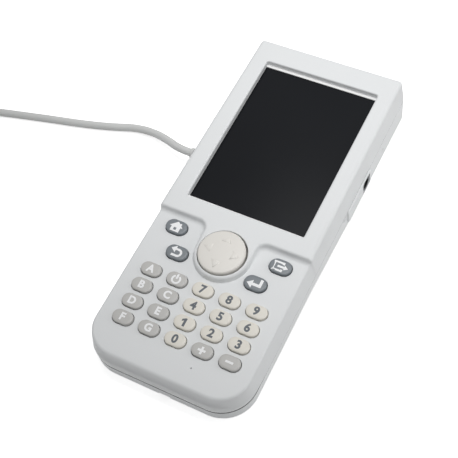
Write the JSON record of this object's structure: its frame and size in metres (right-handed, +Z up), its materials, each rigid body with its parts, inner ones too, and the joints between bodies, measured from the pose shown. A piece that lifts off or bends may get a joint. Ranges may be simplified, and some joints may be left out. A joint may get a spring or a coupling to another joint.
{
  "type": "sewing machine programmer",
  "caption": "Hand-held programming panel for a sewing machine: a screen over a stepped keypad, a four-way pad, a side socket, and a lead with a round plug.",
  "frame": {"origin": "middle of the case's footprint, on the surface that it lies on", "axes": "+Z up, +Y along the case from the keypad end to the screen end, +X to the user's right"},
  "size_m": [0.2555, 0.1844, 0.0272],
  "materials": {
    "front_shell": "fine satin moulding",
    "rear_shell": "fine satin moulding",
    "gasket": "foam frame",
    "screen": "black display under a clear sheet",
    "tray_steel": "pressed sheet",
    "screw_steel": "bright zinc",
    "board": "green solder mask",
    "mat": "moulded silicone",
    "inner_plastic": "plain moulding",
    "ribbon": "flat ribbon",
    "black_plastic": "plain moulding",
    "lead_rubber": "grey sheath",
    "plug_plastic": "moulded grip",
    "plug_metal": "plated shell",
    "digit_keys": "cream moulding",
    "grey_keys": "warm grey moulding",
    "menu_keys": "dark grey moulding",
    "pad_plastic": "cream moulding"
  },
  "bodies": {
    "housing": {"front_cover": "front_shell", "rear_cover": "rear_shell", "display_gasket": "gasket", "display_panel": "screen", "display_tray": "tray_steel", "display_screws": "screw_steel", "main_board": "board", "main_board_screws": "screw_steel", "keypad_board": "board", "keypad_board_screws": "screw_steel", "keypad_mat": "mat", "pad_post": "inner_plastic", "ribbon_cable": "ribbon", "buzzer": "black_plastic", "side_socket": "black_plastic", "case_screws": "screw_steel", "cable_gland": "lead_rubber", "cord": "lead_rubber", "cord_coil": "lead_rubber", "cord_tie": "black_plastic", "plug_grip": "plug_plastic", "plug_shell": "plug_metal", "plug_insert": "black_plastic"},
    "pad_rocker": {"pad_rocker": "inner_plastic"},
    "pad_cap": {"pad_cap": "pad_plastic"},
    "letter_a_key": {"letter_a_key": "grey_keys"},
    "power_key": {"power_key": "grey_keys"},
    "digit_7_key": {"digit_7_key": "digit_keys"},
    "digit_8_key": {"digit_8_key": "digit_keys"},
    "digit_9_key": {"digit_9_key": "digit_keys"},
    "letter_b_key": {"letter_b_key": "grey_keys"},
    "letter_c_key": {"letter_c_key": "grey_keys"},
    "digit_4_key": {"digit_4_key": "digit_keys"},
    "digit_5_key": {"digit_5_key": "digit_keys"},
    "digit_6_key": {"digit_6_key": "digit_keys"},
    "letter_d_key": {"letter_d_key": "grey_keys"},
    "letter_e_key": {"letter_e_key": "grey_keys"},
    "digit_1_key": {"digit_1_key": "digit_keys"},
    "digit_2_key": {"digit_2_key": "digit_keys"},
    "digit_3_key": {"digit_3_key": "digit_keys"},
    "letter_f_key": {"letter_f_key": "grey_keys"},
    "letter_g_key": {"letter_g_key": "grey_keys"},
    "digit_0_key": {"digit_0_key": "digit_keys"},
    "plus_key": {"plus_key": "grey_keys"},
    "minus_key": {"minus_key": "grey_keys"},
    "home_key": {"home_key": "menu_keys"},
    "exit_key": {"exit_key": "menu_keys"},
    "back_key": {"back_key": "menu_keys"},
    "enter_key": {"enter_key": "menu_keys"}
  },
  "joints": [
    {"name": "letter_a_press", "type": "slide", "parent": "housing", "child": "letter_a_key", "axis": [0, 0.0436, -0.999], "range_m": [0, 0.0008], "stiffness_N_per_m": 600},
    {"name": "power_press", "type": "slide", "parent": "housing", "child": "power_key", "axis": [0, 0.0436, -0.999], "range_m": [0, 0.0008], "stiffness_N_per_m": 600},
    {"name": "digit_7_press", "type": "slide", "parent": "housing", "child": "digit_7_key", "axis": [0, 0.0436, -0.999], "range_m": [0, 0.0008], "stiffness_N_per_m": 600},
    {"name": "digit_8_press", "type": "slide", "parent": "housing", "child": "digit_8_key", "axis": [0, 0.0436, -0.999], "range_m": [0, 0.0008], "stiffness_N_per_m": 600},
    {"name": "digit_9_press", "type": "slide", "parent": "housing", "child": "digit_9_key", "axis": [0, 0.0436, -0.999], "range_m": [0, 0.0008], "stiffness_N_per_m": 600},
    {"name": "letter_b_press", "type": "slide", "parent": "housing", "child": "letter_b_key", "axis": [0, 0.0436, -0.999], "range_m": [0, 0.0008], "stiffness_N_per_m": 600},
    {"name": "letter_c_press", "type": "slide", "parent": "housing", "child": "letter_c_key", "axis": [0, 0.0436, -0.999], "range_m": [0, 0.0008], "stiffness_N_per_m": 600},
    {"name": "digit_4_press", "type": "slide", "parent": "housing", "child": "digit_4_key", "axis": [0, 0.0436, -0.999], "range_m": [0, 0.0008], "stiffness_N_per_m": 600},
    {"name": "digit_5_press", "type": "slide", "parent": "housing", "child": "digit_5_key", "axis": [0, 0.0436, -0.999], "range_m": [0, 0.0008], "stiffness_N_per_m": 600},
    {"name": "digit_6_press", "type": "slide", "parent": "housing", "child": "digit_6_key", "axis": [0, 0.0436, -0.999], "range_m": [0, 0.0008], "stiffness_N_per_m": 600},
    {"name": "letter_d_press", "type": "slide", "parent": "housing", "child": "letter_d_key", "axis": [0, 0.0436, -0.999], "range_m": [0, 0.0008], "stiffness_N_per_m": 600},
    {"name": "letter_e_press", "type": "slide", "parent": "housing", "child": "letter_e_key", "axis": [0, 0.0436, -0.999], "range_m": [0, 0.0008], "stiffness_N_per_m": 600},
    {"name": "digit_1_press", "type": "slide", "parent": "housing", "child": "digit_1_key", "axis": [0, 0.0436, -0.999], "range_m": [0, 0.0008], "stiffness_N_per_m": 600},
    {"name": "digit_2_press", "type": "slide", "parent": "housing", "child": "digit_2_key", "axis": [0, 0.0436, -0.999], "range_m": [0, 0.0008], "stiffness_N_per_m": 600},
    {"name": "digit_3_press", "type": "slide", "parent": "housing", "child": "digit_3_key", "axis": [0, 0.0436, -0.999], "range_m": [0, 0.0008], "stiffness_N_per_m": 600},
    {"name": "letter_f_press", "type": "slide", "parent": "housing", "child": "letter_f_key", "axis": [0, 0.0436, -0.999], "range_m": [0, 0.0008], "stiffness_N_per_m": 600},
    {"name": "letter_g_press", "type": "slide", "parent": "housing", "child": "letter_g_key", "axis": [0, 0.0436, -0.999], "range_m": [0, 0.0008], "stiffness_N_per_m": 600},
    {"name": "digit_0_press", "type": "slide", "parent": "housing", "child": "digit_0_key", "axis": [0, 0.0436, -0.999], "range_m": [0, 0.0008], "stiffness_N_per_m": 600},
    {"name": "plus_press", "type": "slide", "parent": "housing", "child": "plus_key", "axis": [0, 0.0436, -0.999], "range_m": [0, 0.0008], "stiffness_N_per_m": 600},
    {"name": "minus_press", "type": "slide", "parent": "housing", "child": "minus_key", "axis": [0, 0.0436, -0.999], "range_m": [0, 0.0008], "stiffness_N_per_m": 600},
    {"name": "home_press", "type": "slide", "parent": "housing", "child": "home_key", "axis": [0, 0.0436, -0.999], "range_m": [0, 0.0008], "stiffness_N_per_m": 600},
    {"name": "exit_press", "type": "slide", "parent": "housing", "child": "exit_key", "axis": [0, 0.0436, -0.999], "range_m": [0, 0.0008], "stiffness_N_per_m": 600},
    {"name": "back_press", "type": "slide", "parent": "housing", "child": "back_key", "axis": [0, 0.0436, -0.999], "range_m": [0, 0.0008], "stiffness_N_per_m": 600},
    {"name": "enter_press", "type": "slide", "parent": "housing", "child": "enter_key", "axis": [0, 0.0436, -0.999], "range_m": [0, 0.0008], "stiffness_N_per_m": 600},
    {"name": "pad_tip_up_down", "type": "hinge", "parent": "housing", "child": "pad_rocker", "pos_m": [0, -0.02879, 0.0195], "axis": [1, 0, 0], "range_deg": [-3, 3], "stiffness_Nm_per_rad": 0.4},
    {"name": "pad_tip_left_right", "type": "hinge", "parent": "pad_rocker", "child": "pad_cap", "pos_m": [0, -0.02879, 0.0195], "axis": [0, 0.999, 0.0436], "range_deg": [-3, 3], "stiffness_Nm_per_rad": 0.4}
  ]
}
